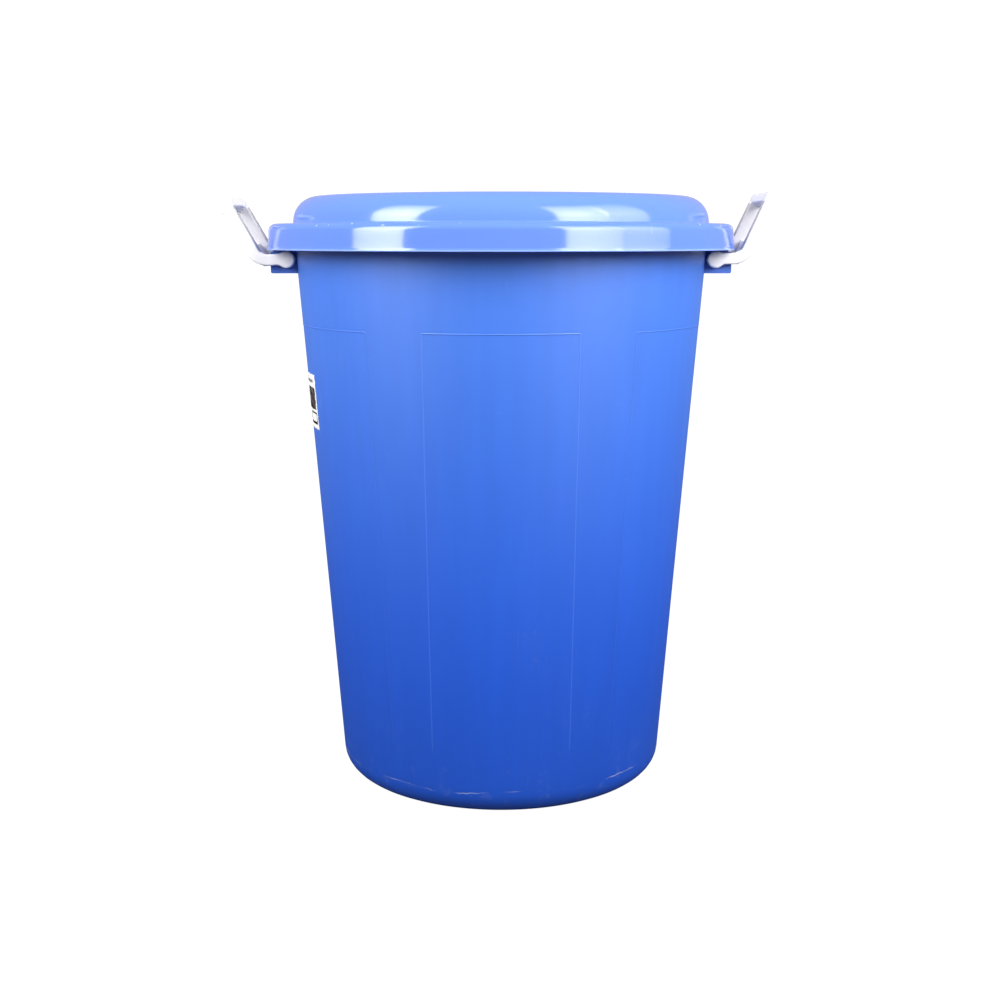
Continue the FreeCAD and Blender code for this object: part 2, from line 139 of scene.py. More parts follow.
# ---------------------------------------------------------------------------------------
# Tub: one injection-moulded piece. It has a raised floor, a tapered wall with shallow
# panels outlined by fine beads, and a rim flange with a lip turned down.
def rounded_outline(corners, closed=False):
    """Outline through corners (x, z, radius), each rounded by an arc of its radius."""
    points = []
    count = len(corners)
    for number, (x, z, radius) in enumerate(corners):
        if radius == 0:
            points.append((x, z))
            continue
        here = Vector((x, z))
        back = Vector(corners[number - 1][:2]) - here
        ahead = Vector(corners[(number + 1) % count][:2]) - here
        back.normalize()
        ahead.normalize()
        half = acos(max(-1.0, min(1.0, back.dot(ahead)))) / 2
        centre = here + (back + ahead).normalized() * radius / sin(half)
        first = here + back * radius / tan(half) - centre
        last = here + ahead * radius / tan(half) - centre
        turn = atan2(first.x * last.y - first.y * last.x, first.dot(last))
        steps = max(3, round(abs(turn) / radians(11)))
        for step in range(steps + 1):
            angle = turn * step / steps
            spoke = Vector((first.x * cos(angle) - first.y * sin(angle),
                            first.x * sin(angle) + first.y * cos(angle)))
            points.append(tuple(centre + spoke))
    return points


def math_node(tree, operation, *values):
    """Math node fed by sockets or numbers. It gives the output socket."""
    node = tree.nodes.new("ShaderNodeMath")
    node.operation = operation
    for socket, value in zip(node.inputs, values):
        if isinstance(value, bpy.types.NodeSocket):
            tree.links.new(value, socket)
        else:
            socket.default_value = value
    return node.outputs[0]


def smooth_step(tree, value, low, high):
    """Value eased from 0 at low to 1 at high."""
    node = tree.nodes.new("ShaderNodeMapRange")
    node.interpolation_type = "SMOOTHSTEP"
    for socket, item in zip(node.inputs, (value, low, high)):
        if isinstance(item, bpy.types.NodeSocket):
            tree.links.new(item, socket)
        else:
            socket.default_value = item
    return node.outputs[0]


def make_turned_shell_tree():
    """Nodes that turn a profile about Z and press shallow panels into its marked points."""
    tree = bpy.data.node_groups.new("turned_shell", "GeometryNodeTree")
    tree.interface.new_socket("Geometry", in_out="INPUT", socket_type="NodeSocketGeometry")
    named = (
        ("Segments", "NodeSocketInt"), ("Panel Top", "NodeSocketFloat"),
        ("Panel Foot", "NodeSocketFloat"), ("Front Half Angle", "NodeSocketFloat"),
        ("Side Limit Angle", "NodeSocketFloat"), ("Recess", "NodeSocketFloat"),
        ("Edge Width", "NodeSocketFloat"), ("Material", "NodeSocketMaterial"),
    )
    for name, kind in named:
        tree.interface.new_socket(name, in_out="INPUT", socket_type=kind)
    tree.interface.new_socket("Geometry", in_out="OUTPUT", socket_type="NodeSocketGeometry")
    link = tree.links.new
    given = tree.nodes.new("NodeGroupInput").outputs

    size = tree.nodes.new("GeometryNodeAttributeDomainSize")
    link(given["Geometry"], size.inputs["Geometry"])
    rows = size.outputs["Point Count"]
    grid = tree.nodes.new("GeometryNodeMeshGrid")
    link(math_node(tree, "ADD", given["Segments"], 1), grid.inputs["Vertices X"])
    link(rows, grid.inputs["Vertices Y"])

    index = tree.nodes.new("GeometryNodeInputIndex").outputs[0]
    row = math_node(tree, "MODULO", index, rows)
    column = math_node(tree, "DIVIDE", math_node(tree, "ADD", index, 0.5), rows)
    column = math_node(tree, "FLOOR", column)
    turn = math_node(tree, "DIVIDE", column, given["Segments"])
    angle = math_node(tree, "MULTIPLY", turn, 2 * pi)

    def on_profile(kind, field):
        sample = tree.nodes.new("GeometryNodeSampleIndex")
        sample.data_type = kind
        link(given["Geometry"], sample.inputs["Geometry"])
        link(field, sample.inputs["Value"])
        link(row, sample.inputs["Index"])
        return sample.outputs["Value"]

    place = tree.nodes.new("ShaderNodeSeparateXYZ")
    position = tree.nodes.new("GeometryNodeInputPosition").outputs[0]
    link(on_profile("FLOAT_VECTOR", position), place.inputs[0])
    radius = place.outputs["X"]
    height = place.outputs["Z"]
    marked = tree.nodes.new("GeometryNodeInputNamedAttribute")
    marked.data_type = "FLOAT"
    marked.inputs["Name"].default_value = "panelled"
    panelled = on_profile("FLOAT", marked.outputs["Attribute"])

    # Angle from the front or back, whichever is nearer: 0 there and a quarter turn at the sides.
    folded = math_node(tree, "ARCCOSINE", math_node(tree, "ABSOLUTE", math_node(tree, "SINE", angle)))
    past_front = math_node(tree, "SUBTRACT", folded, given["Front Half Angle"])
    past_side = math_node(tree, "SUBTRACT", given["Side Limit Angle"], folded)
    sideways = math_node(tree, "MULTIPLY", math_node(tree, "MINIMUM", past_front, past_side), radius)
    above = math_node(tree, "SUBTRACT", height, given["Panel Top"])
    outside = math_node(tree, "MAXIMUM", sideways, above)
    inner_edge = math_node(tree, "MULTIPLY", given["Edge Width"], -1)
    inside = smooth_step(tree, outside, given["Edge Width"], inner_edge)
    full_depth_level = math_node(tree, "ADD", given["Panel Foot"], 0.2)
    fade = smooth_step(tree, height, given["Panel Foot"], full_depth_level)
    pressed = math_node(tree, "MULTIPLY", math_node(tree, "MULTIPLY", inside, given["Recess"]), fade)
    radius = math_node(tree, "SUBTRACT", radius, math_node(tree, "MULTIPLY", pressed, panelled))

    around = tree.nodes.new("ShaderNodeCombineXYZ")
    link(math_node(tree, "MULTIPLY", radius, math_node(tree, "COSINE", angle)), around.inputs["X"])
    link(math_node(tree, "MULTIPLY", radius, math_node(tree, "SINE", angle)), around.inputs["Y"])
    link(height, around.inputs["Z"])
    turned = tree.nodes.new("GeometryNodeSetPosition")
    link(grid.outputs["Mesh"], turned.inputs["Geometry"])
    link(around.outputs[0], turned.inputs["Position"])
    merged = tree.nodes.new("GeometryNodeMergeByDistance")
    merged.inputs["Distance"].default_value = 0.000005
    link(turned.outputs[0], merged.inputs["Geometry"])
    smooth = tree.nodes.new("GeometryNodeSetShadeSmooth")
    link(merged.outputs[0], smooth.inputs["Geometry"])
    realized = tree.nodes.new("GeometryNodeRealizeInstances")
    link(smooth.outputs[0], realized.inputs["Geometry"])
    painted = tree.nodes.new("GeometryNodeSetMaterial")
    link(realized.outputs[0], painted.inputs["Geometry"])
    link(given["Material"], painted.inputs["Material"])
    link(painted.outputs[0], tree.nodes.new("NodeGroupOutput").inputs["Geometry"])
    return tree


turned_shell = make_turned_shell_tree()


def recalculate_normals(mesh):
    """Turn every face of a closed mesh outwards."""
    work = bmesh.new()
    work.from_mesh(mesh)
    bmesh.ops.recalc_face_normals(work, faces=work.faces)
    work.to_mesh(mesh)
    work.free()


def turn_profile(name, profile, material, segments, panelled=(), **inputs):
    """Plain mesh object of a closed profile (r, z) turned about Z by the node tree."""
    mesh = bpy.data.meshes.new(name + "_profile")
    mesh.from_pydata([(r, 0.0, z) for r, z in profile], [], [])
    marks = mesh.attributes.new("panelled", "FLOAT", "POINT")
    for number in panelled:
        marks.data[number].value = 1.0
    source = bpy.data.objects.new(name + "_profile", mesh)
    bpy.context.scene.collection.objects.link(source)
    modifier = source.modifiers.new("turned_shell", "NODES")
    modifier.node_group = turned_shell
    values = {"Segments": segments, "Material": material}
    values.update({key.replace("_", " ").title(): value for key, value in inputs.items()})
    for item in turned_shell.interface.items_tree:
        if item.in_out == "INPUT" and item.name in values:
            modifier[item.identifier] = values[item.name]
    bpy.context.view_layer.update()
    evaluated = source.evaluated_get(bpy.context.evaluated_depsgraph_get())
    finished = bpy.data.meshes.new_from_object(evaluated)
    finished.name = name
    recalculate_normals(finished)
    bpy.data.objects.remove(source)
    piece = bpy.data.objects.new(name, finished)
    bpy.context.scene.collection.objects.link(piece)
    return piece


def new_group(name, inputs, outputs):
    """Empty shader node group with named float, vector and colour sockets."""
    group = bpy.data.node_groups.new(name, "ShaderNodeTree")
    kinds = {"float": "NodeSocketFloat", "vector": "NodeSocketVector", "colour": "NodeSocketColor"}
    for socket, kind in inputs:
        group.interface.new_socket(socket, in_out="INPUT", socket_type=kinds[kind])
    for socket, kind in outputs:
        group.interface.new_socket(socket, in_out="OUTPUT", socket_type=kinds[kind])
    return group, group.nodes.new("NodeGroupInput").outputs, group.nodes.new("NodeGroupOutput").inputs


def noise_node(tree, vector, scale, detail=2.0, stretch=(1.0, 1.0, 1.0), turn=0.0):
    """Noise texture on stretched and turned coordinates. It gives a 0 to 1 value."""
    mapping = tree.nodes.new("ShaderNodeMapping")
    mapping.inputs["Scale"].default_value = stretch
    mapping.inputs["Rotation"].default_value = (turn, turn * 0.6, 0.0)
    tree.links.new(vector, mapping.inputs["Vector"])
    noise = tree.nodes.new("ShaderNodeTexNoise")
    noise.inputs["Scale"].default_value = scale
    noise.inputs["Detail"].default_value = detail
    tree.links.new(mapping.outputs[0], noise.inputs["Vector"])
    return noise.outputs["Fac"]


def make_moulded_skin():
    """Colour and gloss variation of a moulded skin: flow streaks, clouds and specks."""
    group, given, gives = new_group(
        "moulded_skin",
        [("Vector", "vector"), ("Streaks", "float"), ("Clouds", "float"), ("Specks", "float")],
        [("Shade", "float"), ("Speck", "float"), ("Gloss Change", "float"), ("Height", "float")])
    vector = given["Vector"]
    streak = noise_node(group, vector, 55.0, 3.0, stretch=(1.0, 1.0, 0.03))
    cloud = noise_node(group, vector, 5.0, 3.0, stretch=(1.0, 1.0, 0.5))
    uneven_streak = math_node(group, "SUBTRACT", streak, 0.5)
    uneven_cloud = math_node(group, "SUBTRACT", cloud, 0.5)
    streak_part = math_node(group, "MULTIPLY", uneven_streak, given["Streaks"])
    cloud_part = math_node(group, "MULTIPLY", uneven_cloud, given["Clouds"])
    shade = math_node(group, "ADD", streak_part, cloud_part)
    group.links.new(math_node(group, "ADD", shade, 1.0), gives["Shade"])
    cells = group.nodes.new("ShaderNodeTexVoronoi")
    cells.inputs["Scale"].default_value = 48.0
    group.links.new(vector, cells.inputs["Vector"])
    chosen = group.nodes.new("ShaderNodeSeparateColor")
    group.links.new(cells.outputs["Color"], chosen.inputs[0])
    dot = smooth_step(group, cells.outputs["Distance"], 0.075, 0.03)
    picked = math_node(group, "GREATER_THAN", chosen.outputs[0], 0.86)
    speck = math_node(group, "MULTIPLY", math_node(group, "MULTIPLY", dot, picked), given["Specks"])
    group.links.new(speck, gives["Speck"])
    fine = noise_node(group, vector, 260.0, 2.0)
    cloud_gloss = math_node(group, "MULTIPLY", uneven_cloud, 0.12)
    fine_gloss = math_node(group, "MULTIPLY", math_node(group, "SUBTRACT", fine, 0.5), 0.05)
    gloss = math_node(group, "ADD", cloud_gloss, fine_gloss)
    group.links.new(gloss, gives["Gloss Change"])
    height = math_node(group, "ADD", math_node(group, "MULTIPLY", fine, 0.25), streak)
    group.links.new(height, gives["Height"])
    return group


def make_scratches():
    """Mask of fine pale scratches, gathered in patches."""
    group, given, gives = new_group(
        "fine_scratches", [("Vector", "vector"), ("Amount", "float")], [("Mask", "float")])
    lines = []
    strokes = ((0.35, (30.0, 30.0, 2.2)), (-0.8, (26.0, 26.0, 1.6)), (1.3, (34.0, 34.0, 3.0)))
    for turn, stretch in strokes:
        field = noise_node(group, given["Vector"], 3.1, 1.0, stretch=stretch, turn=turn)
        away = math_node(group, "ABSOLUTE", math_node(group, "SUBTRACT", field, 0.5))
        lines.append(smooth_step(group, away, 0.004, 0.0))
    every = math_node(group, "MAXIMUM", math_node(group, "MAXIMUM", lines[0], lines[1]), lines[2])
    patches = smooth_step(group, noise_node(group, given["Vector"], 7.0, 2.0), 0.56, 0.70)
    mask = math_node(group, "MULTIPLY", math_node(group, "MULTIPLY", every, patches), given["Amount"])
    group.links.new(mask, gives["Mask"])
    return group


moulded_skin = make_moulded_skin()
fine_scratches = make_scratches()


def add_group(tree, group, **values):
    """Place a node group in a material and set its inputs from numbers or sockets."""
    node = tree.nodes.new("ShaderNodeGroup")
    node.node_tree = group
    for name, value in values.items():
        socket = node.inputs[name.replace("_", " ").title()]
        if isinstance(value, bpy.types.NodeSocket):
            tree.links.new(value, socket)
        else:
            socket.default_value = value
    return node.outputs


def mix_colour(tree, factor, first, second, blend="MIX"):
    """Mix of two colours, each a socket or a colour. It gives the output socket."""
    node = tree.nodes.new("ShaderNodeMix")
    node.data_type = "RGBA"
    node.blend_type = blend
    for socket, value in ((node.inputs[0], factor), (node.inputs[6], first), (node.inputs[7], second)):
        if isinstance(value, bpy.types.NodeSocket):
            tree.links.new(value, socket)
        elif isinstance(value, tuple):
            socket.default_value = value + (1.0,)
        else:
            socket.default_value = value
    return node.outputs[2]


def start_material(name, specular):
    """New material: its tree, its shader and its Object coordinates."""
    material = bpy.data.materials.new(name)
    material.use_nodes = True
    tree = material.node_tree
    shader = tree.nodes["Principled BSDF"]
    shader.inputs["Specular IOR Level"].default_value = specular
    return material, tree, shader, tree.nodes.new("ShaderNodeTexCoord").outputs["Object"]


def shaded(tree, colour, shade):
    """Colour times a changing grey value."""
    grey = tree.nodes.new("ShaderNodeCombineColor")
    for socket in grey.inputs:
        tree.links.new(shade, socket)
    return mix_colour(tree, 1.0, colour, grey.outputs[0], blend="MULTIPLY")


def add_bump(tree, shader, height, distance, strength=1.0):
    """Feed a height into the shader's normal."""
    bump = tree.nodes.new("ShaderNodeBump")
    bump.inputs["Distance"].default_value = distance
    bump.inputs["Strength"].default_value = strength
    tree.links.new(height, bump.inputs["Height"])
    tree.links.new(bump.outputs[0], shader.inputs["Normal"])


tub_blue = (0.005, 0.107, 0.77)
# Painted sheen colour for the upper wall.
upper_sheen_blue = (0.036, 0.152, 0.64)
# Painted highlight colour for the bead crests.
bead_highlight_blue = (0.12, 0.27, 0.85)
scuffed_blue = (0.30, 0.40, 0.72)
whitened_blue = (0.55, 0.62, 0.80)
knocked_level = 0.0300


def make_tub_plastic():
    """Blue plastic with streaks, specks, scuffs, a whitened foot, a painted sheen that pales it
    towards the mouth and painted highlights on the bead crests.
    """
    material, tree, shader, place = start_material("tub_plastic", 0.9)
    skin = add_group(tree, moulded_skin, vector=place, streaks=0.16, clouds=0.14, specks=0.5)
    scratches = add_group(tree, fine_scratches, vector=place, amount=0.5)
    axes = tree.nodes.new("ShaderNodeSeparateXYZ")
    tree.links.new(place, axes.inputs[0])
    height = axes.outputs["Z"]
    # Where the foot's rounding meets the wall, knocks have turned the plastic white.
    wander = math_node(tree, "SUBTRACT", noise_node(tree, place, 9.0, 8.0), 0.5)
    jitter = math_node(tree, "SUBTRACT", noise_node(tree, place, 120.0, 3.0), 0.5)
    line_level = math_node(tree, "ADD", math_node(tree, "MULTIPLY", wander, 0.016), knocked_level)
    line_level = math_node(tree, "ADD", line_level, math_node(tree, "MULTIPLY", jitter, 0.004))
    off_line = math_node(tree, "ABSOLUTE", math_node(tree, "SUBTRACT", height, line_level))
    line = smooth_step(tree, off_line, 0.0009, 0.0002)
    breaks = smooth_step(tree, noise_node(tree, place, 22.0, 5.0), 0.46, 0.66)
    whitened = math_node(tree, "MULTIPLY", line, breaks)
    foot = smooth_step(tree, height, 0.10, 0.005)
    spots = smooth_step(tree, noise_node(tree, place, 60.0, 3.0), 0.60, 0.72)
    scuffed = math_node(tree, "MULTIPLY", math_node(tree, "MULTIPLY", foot, spots), 0.35)
    worn = math_node(tree, "ADD", scuffed, scratches["Mask"])
    worn = math_node(tree, "MINIMUM", math_node(tree, "ADD", worn, skin["Speck"]), 1.0)
    # Painted sheen: the wall is mixed paler towards the mouth.
    upper_sheen = smooth_step(tree, height, 0.12, 0.62)
    base = shaded(tree, mix_colour(tree, upper_sheen, tub_blue, upper_sheen_blue), skin["Shade"])
    # Painted highlight: the marked bead crests are mixed towards a paler blue.
    rubbed = tree.nodes.new("ShaderNodeAttribute")
    rubbed.attribute_name = "rubbed"
    painted_light_amount = math_node(tree, "MULTIPLY", rubbed.outputs["Fac"], 0.45)
    base = mix_colour(tree, painted_light_amount, base, bead_highlight_blue)
    base = mix_colour(tree, math_node(tree, "MULTIPLY", worn, 0.35), base, scuffed_blue)
    base = mix_colour(tree, math_node(tree, "MULTIPLY", whitened, 0.8), base, whitened_blue)
    tree.links.new(base, shader.inputs["Base Color"])
    rough = math_node(tree, "ADD", math_node(tree, "ADD", 0.50, skin["Gloss Change"]),
                      math_node(tree, "MULTIPLY", worn, 0.25))
    tree.links.new(rough, shader.inputs["Roughness"])
    add_bump(tree, shader, skin["Height"], 0.0002, 0.5)
    return material


tub_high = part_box("tub")[1]
rim_level = tub_high.z
rim_radius = tub_high.x
wall_foot_radius = 0.2004
wall_mouth_radius = 0.2520
wall_thickness = 0.0030
floor_thickness = 0.0035
floor_rise = 0.0040
foot_ring_radius = 0.150
foot_rounding = 0.0290
rim_thickness = 0.0030
rim_rounding = 0.0052
lip_drop = 0.0130
lip_rounding = 0.0012


def wall_radius(height):
    """Outside radius of the tapered wall."""
    return wall_foot_radius + (wall_mouth_radius - wall_foot_radius) * height / rim_level


# The profile runs from the middle underneath, up the outside, over the rim, down the
# inside and back to the middle. Its rows are closer together at the top of the panels.
under_rim = rim_level - rim_thickness
outside_rows = [0.040 + 0.0125 * step for step in range(42)]
outside_rows += [0.5635, 0.5648, 0.5658, 0.5668, 0.5678, 0.5690, 0.5705]
outside_rows += [0.585, 0.605, 0.625, 0.645, 0.665]
outside_rows = sorted(level for level in outside_rows if not 0.5605 < level < 0.5630)
inside_rows = [0.66 - 0.04 * step for step in range(16)]
tub_corners = [
    (0.0, floor_rise, 0), (0.06, floor_rise, 0), (0.12, floor_rise, 0),
    (foot_ring_radius - 0.004, floor_rise, 0.003), (foot_ring_radius, 0.0, 0.002),
    (wall_foot_radius, 0.0, foot_rounding),
]
tub_corners += [(wall_radius(level), level, 0) for level in outside_rows]
tub_corners += [
    (wall_radius(under_rim), under_rim, 0.002),
    (rim_radius - rim_thickness, under_rim, 0.001),
    (rim_radius - rim_thickness, rim_level - lip_drop, lip_rounding),
    (rim_radius, rim_level - lip_drop, lip_rounding),
    (rim_radius, rim_level, rim_rounding),
    (wall_mouth_radius - wall_thickness, rim_level, lip_rounding),
]
tub_corners += [(wall_radius(level) - wall_thickness, level, 0) for level in inside_rows]
tub_corners += [
    (wall_radius(floor_thickness) - wall_thickness, floor_thickness, foot_rounding - wall_thickness),
    (foot_ring_radius, floor_thickness, 0.002),
    (foot_ring_radius - 0.004, floor_rise + floor_thickness, 0.003),
    (0.12, floor_rise + floor_thickness, 0), (0.06, floor_rise + floor_thickness, 0),
    (0.0, floor_rise + floor_thickness, 0),
]
tub_profile = rounded_outline(tub_corners)
panel_points = [number for number, (r, z) in enumerate(tub_profile)
                if 0.04 < z < 0.67 and abs(r - wall_radius(z)) < 0.0002]
tub_plastic = make_tub_plastic()
tub = turn_profile(
    "tub_shell", tub_profile, tub_plastic, 576, panel_points,
    panel_top=0.5668, panel_foot=0.075, front_half_angle=radians(21.1),
    side_limit_angle=radians(38.3), recess=0.00020, edge_width=0.0030)
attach(tub, "drum")
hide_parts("tub")


# ---------------------------------------------------------------------------------------
# Ears: moulded with the tub, two flat plates a side that hang from the rim flange and a
# shelf that joins them below. A pin hole goes through each plate.
def extrude_outline(name, outline, middle, depth, bevel, holes=()):
    """Plate of an outline (x, z) with holes, extruded along Y with rounded edges."""
    curve = bpy.data.curves.new(name, "CURVE")
    curve.dimensions = "2D"
    curve.fill_mode = "BOTH"
    curve.extrude = depth / 2 - bevel
    curve.bevel_depth = bevel
    curve.bevel_resolution = 3
    curve.offset = -bevel
    for ring in (outline,) + tuple(holes):
        spline = curve.splines.new("POLY")
        spline.points.add(len(ring) - 1)
        for point, (x, z) in zip(spline.points, ring):
            point.co = (x, z, 0.0, 1.0)
        spline.use_cyclic_u = True
    plate = bpy.data.objects.new(name, curve)
    bpy.context.scene.collection.objects.link(plate)
    bpy.context.view_layer.update()
    mesh = bpy.data.meshes.new_from_object(plate.evaluated_get(bpy.context.evaluated_depsgraph_get()))
    bpy.data.objects.remove(plate)
    # The curve's own plane is XY: stand it up so that its Y becomes Z.
    for vertex in mesh.vertices:
        x, z, y = vertex.co
        vertex.co = (x, middle - y, z)
    work = bmesh.new()
    work.from_mesh(mesh)
    bmesh.ops.remove_doubles(work, verts=work.verts, dist=0.00001)
    bmesh.ops.recalc_face_normals(work, faces=work.faces)
    work.to_mesh(mesh)
    work.free()
    return mesh


def join_meshes(name, meshes):
    """One mesh object of several meshes."""
    work = bmesh.new()
    for mesh in meshes:
        work.from_mesh(mesh)
    joined = bpy.data.meshes.new(name)
    work.to_mesh(joined)
    work.free()
    piece = bpy.data.objects.new(name, joined)
    bpy.context.scene.collection.objects.link(piece)
    return piece


def ring_outline(x, z, radius, steps=28):
    """Circle of points."""
    return [(x + radius * cos(2 * pi * step / steps), z + radius * sin(2 * pi * step / steps))
            for step in range(steps)]


pivots = {joint["child"]: joint["pos_m"] for joint in frame["joints"] if joint["type"] == "hinge"}
pivot_x = pivots["right_handle"][0]
pivot_z = pivots["right_handle"][2]
ear_spacing = 0.0770
ear_thickness = 0.0060
ear_bottom = pivot_z - 0.0166
ear_step = rim_level - 0.0310
ear_reach = pivot_x + 0.0205
ear_neck = 0.2728
pin_hole_radius = 0.00508
shelf_thickness = 0.0040
ear_meshes = []
for side in (1, -1):
    root = wall_radius(ear_bottom) - 0.0040
    outline = rounded_outline([
        (side * root, ear_bottom, 0), (side * ear_reach, ear_bottom, 0.002),
        (side * ear_reach, ear_step, 0.001), (side * ear_neck, ear_step + 0.001, 0.0008),
        (side * ear_neck, rim_level - 0.0015, 0), (side * (root + 0.0035), rim_level - 0.0015, 0),
    ])
    hole = ring_outline(side * pivot_x, pivot_z, pin_hole_radius)
    for end in (1, -1):
        middle = end * (ear_spacing + ear_thickness) / 2
        ear_meshes.append(extrude_outline("ear", outline, middle, ear_thickness, 0.0006, [hole]))
    shelf = rounded_outline([
        (side * root, ear_bottom, 0), (side * ear_reach, ear_bottom, 0.0015),
        (side * ear_reach, ear_bottom + shelf_thickness, 0.001),
        (side * root, ear_bottom + shelf_thickness, 0),
    ])
    ear_meshes.append(extrude_outline("shelf", shelf, 0.0, ear_spacing + 0.002, 0.0005))
ears = join_meshes("tub_ears", ear_meshes)
ears.data.materials.append(tub_plastic)
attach(ears, "drum")
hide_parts("tub")


# ---------------------------------------------------------------------------------------
# Beads: thin lines moulded on the tub, up both edges and over the top of each panel. They
# lean with the panel, die out above the foot and carry a painted highlight along their crest.
bead_half_width = 0.0010
bead_height = 0.00040
bead_corner = 0.0015
bead_foot = 0.074
bead_runout = 0.03
bead_sinking = 0.00012
strip_points = 9
wall_lean = (wall_mouth_radius - wall_foot_radius) / rim_level


def bead_mesh(half_angle_high, half_angle_low, top, middle, crest_highlight):
    """Half-round line up one edge of a panel, across its top and down the other edge."""
    path = []
    for step in range(121):
        level = bead_foot + (top - bead_corner - bead_foot) * step / 120
        share = (level - bead_foot) / (top - bead_foot)
        path.append((-(half_angle_low + (half_angle_high - half_angle_low) * share), level))
    turn = bead_corner / wall_radius(top)
    for step in range(1, 7):
        angle = pi / 2 * step / 6
        path.append((-half_angle_high + turn * (1 - cos(angle)), top - bead_corner * (1 - sin(angle))))
    across = [-half_angle_high + turn + (half_angle_high - turn) * step / 30 for step in range(1, 31)]
    path += [(angle, top) for angle in across]
    path += [(-angle, level) for angle, level in reversed(path[:-1])]
    spots = []
    for angle, level in path:
        radius = wall_radius(level)
        spots.append(Vector((radius * sin(middle + angle), -radius * cos(middle + angle), level)))
    verts = []
    for number, (angle, level) in enumerate(path):
        out = Vector((sin(middle + angle), -cos(middle + angle), -wall_lean)).normalized()
        ahead = spots[min(number + 1, len(spots) - 1)] - spots[max(number - 1, 0)]
        sideways = ahead.cross(out).normalized()
        rise = bead_height * max(0.0, min(1.0, (level - bead_foot) / bead_runout)) ** 0.5
        for part in range(strip_points):
            share = 2 * part / (strip_points - 1) - 1
            # Both edges of the strip go down into the wall.
            sunk = bead_sinking + 0.0003 * (abs(share) == 1)
            lift = rise * cos(share * pi / 2) ** 1.5 - sunk
            verts.append(spots[number] + sideways * share * bead_half_width + out * lift)
    faces = []
    for number in range(len(path) - 1):
        for part in range(strip_points):
            here = number * strip_points + part
            beside = number * strip_points + (part + 1) % strip_points
            faces.append((here, beside, beside + strip_points, here + strip_points))
    faces.append(tuple(range(strip_points)))
    faces.append(tuple(range(len(verts) - 1, len(verts) - strip_points - 1, -1)))
    mesh = bpy.data.meshes.new("bead")
    mesh.from_pydata(verts, [], faces)
    mesh.polygons.foreach_set("use_smooth", [True] * len(faces))
    # Painted highlight: the crest is marked to be mixed paler.
    rubbed = mesh.attributes.new("rubbed", "FLOAT", "POINT")
    for number in range(len(verts)):
        rubbed.data[number].value = crest_highlight if 2 <= number % strip_points <= 6 else 0.0
    return mesh


panel_beads = [bead_mesh(radians(20.8), radians(22.9), 0.5665, turn, 0.75) for turn in (0.0, pi)]
panel_beads += [bead_mesh(radians(51.6), radians(51.9), 0.5655, turn, 0.20)
                for turn in (pi / 2, -pi / 2)]
beads = join_meshes("tub_beads", panel_beads)
beads.data.materials.append(tub_plastic)
recalculate_normals(beads.data)
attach(beads, "drum")
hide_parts("tub")


# ---------------------------------------------------------------------------------------
# Lid: one moulding in a paler, glossier blue. A dome rises from a flat border, and a
# slightly flared skirt with a bead along its edge hangs over the tub's rim.
lid_blue = (0.100, 0.195, 0.75)
lid_worn_blue = (0.45, 0.55, 0.85)
lid_nicked_blue = (0.60, 0.68, 0.90)
# Painted highlight colour for the skirt's lip.
lip_highlight_blue = (0.40, 0.55, 0.92)


def make_lid_plastic():
    """Paler glossy blue with soft streaks, specks, a nicked corner and a painted highlight along the
    lip.
    """
    material, tree, shader, place = start_material("lid_plastic", 0.5)
    skin = add_group(tree, moulded_skin, vector=place, streaks=0.04, clouds=0.10, specks=0.35)
    scratches = add_group(tree, fine_scratches, vector=place, amount=0.5)
    axes = tree.nodes.new("ShaderNodeSeparateXYZ")
    tree.links.new(place, axes.inputs[0])
    corner = math_node(tree, "SUBTRACT", axes.outputs["Z"], lid_border - 0.0018)
    edge = smooth_step(tree, math_node(tree, "ABSOLUTE", corner), 0.0030, 0.0005)
    flat = tree.nodes.new("ShaderNodeCombineXYZ")
    tree.links.new(axes.outputs["X"], flat.inputs["X"])
    tree.links.new(axes.outputs["Y"], flat.inputs["Y"])
    length = tree.nodes.new("ShaderNodeVectorMath")
    length.operation = "LENGTH"
    tree.links.new(flat.outputs[0], length.inputs[0])
    outer = smooth_step(tree, length.outputs["Value"], lid_radius - 0.010, lid_radius - 0.006)
    nicks = smooth_step(tree, noise_node(tree, place, 110.0, 3.0), 0.65, 0.71)
    nicked = math_node(tree, "MULTIPLY", math_node(tree, "MULTIPLY", edge, outer), nicks)
    worn = math_node(tree, "MINIMUM", math_node(tree, "ADD", scratches["Mask"], skin["Speck"]), 1.0)
    base = shaded(tree, lid_blue, skin["Shade"])
    base = mix_colour(tree, math_node(tree, "MULTIPLY", worn, 0.30), base, lid_worn_blue)
    base = mix_colour(tree, math_node(tree, "MULTIPLY", nicked, 0.40), base, lid_nicked_blue)
    # Painted highlight: a pale band along the skirt's lip.
    lip_highlight = smooth_step(tree, axes.outputs["Z"], skirt_edge + 0.0026, skirt_edge + 0.0008)
    base = mix_colour(tree, math_node(tree, "MULTIPLY", lip_highlight, 0.40), base, lip_highlight_blue)
    tree.links.new(base, shader.inputs["Base Color"])
    rough = math_node(tree, "ADD", math_node(tree, "ADD", 0.105, skin["Gloss Change"]),
                      math_node(tree, "MULTIPLY", math_node(tree, "MAXIMUM", worn, nicked), 0.3))
    tree.links.new(rough, shader.inputs["Roughness"])
    add_bump(tree, shader, skin["Height"], 0.0002, 0.25)
    return material


